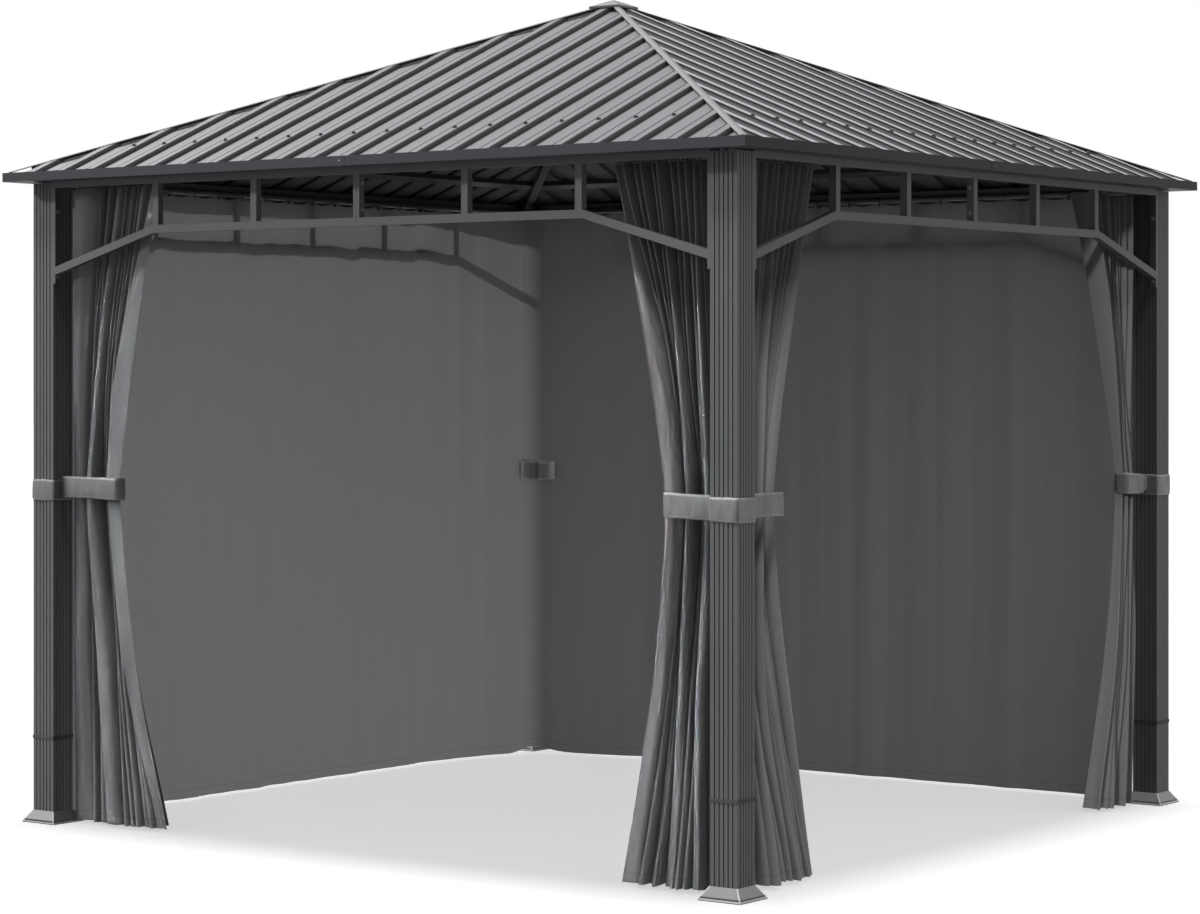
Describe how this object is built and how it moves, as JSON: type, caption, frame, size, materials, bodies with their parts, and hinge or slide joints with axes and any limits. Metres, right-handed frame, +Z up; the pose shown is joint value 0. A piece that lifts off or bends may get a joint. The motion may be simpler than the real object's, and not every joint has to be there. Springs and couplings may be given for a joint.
{
  "type": "hardtop gazebo",
  "caption": "Square metal gazebo with fluted posts, welded side trusses, a hipped roof of ribbed steel sheet and curtains, closed along two sides and tied back on the others.",
  "frame": {"origin": "on the ground at the middle of the plan", "axes": "+Z up, front side towards -Y, right side towards +X"},
  "size_m": [3, 3, 2.8415],
  "materials": {
    "frame_paint": "matt anthracite powder coat",
    "fascia_paint": "matt anthracite powder coat",
    "roof_sheet": "satin grey coil coating on ribbed steel",
    "cap_paint": "satin grey coil coating",
    "base_cover_paint": "satin grey paint on pressed sheet",
    "foot_steel": "zinc-plated steel",
    "curtain_cloth": "plain-woven polyester",
    "strap_webbing": "satin polyester strap"
  },
  "bodies": {
    "root": {"front_left_post": "frame_paint", "front_right_post": "frame_paint", "back_right_post": "frame_paint", "back_left_post": "frame_paint", "front_left_base_cover": "base_cover_paint", "front_right_base_cover": "base_cover_paint", "back_right_base_cover": "base_cover_paint", "back_left_base_cover": "base_cover_paint", "foot_plates": "foot_steel", "post_bands": "frame_paint", "front_truss_left": "frame_paint", "front_truss_right": "frame_paint", "right_truss_front": "frame_paint", "right_truss_back": "frame_paint", "back_truss_right": "frame_paint", "back_truss_left": "frame_paint", "left_truss_back": "frame_paint", "left_truss_front": "frame_paint", "front_fascia": "fascia_paint", "right_fascia": "fascia_paint", "back_fascia": "fascia_paint", "left_fascia": "fascia_paint", "front_roof_panel": "roof_sheet", "right_roof_panel": "roof_sheet", "back_roof_panel": "roof_sheet", "left_roof_panel": "roof_sheet", "front_left_hip_cap": "cap_paint", "front_right_hip_cap": "cap_paint", "back_right_hip_cap": "cap_paint", "back_left_hip_cap": "cap_paint", "apex_cap": "cap_paint", "hip_rafters": "frame_paint", "apex_hub": "frame_paint", "purlins": "frame_paint", "rafter_saddles": "frame_paint", "curtain_poles": "frame_paint", "front_left_curtain": "curtain_cloth", "front_right_curtain": "curtain_cloth", "right_front_curtain": "curtain_cloth", "right_back_curtain": "curtain_cloth", "back_right_curtain": "curtain_cloth", "back_left_curtain": "curtain_cloth", "left_back_curtain": "curtain_cloth", "left_front_curtain": "curtain_cloth", "tiebacks": "strap_webbing"}
  },
  "joints": []
}
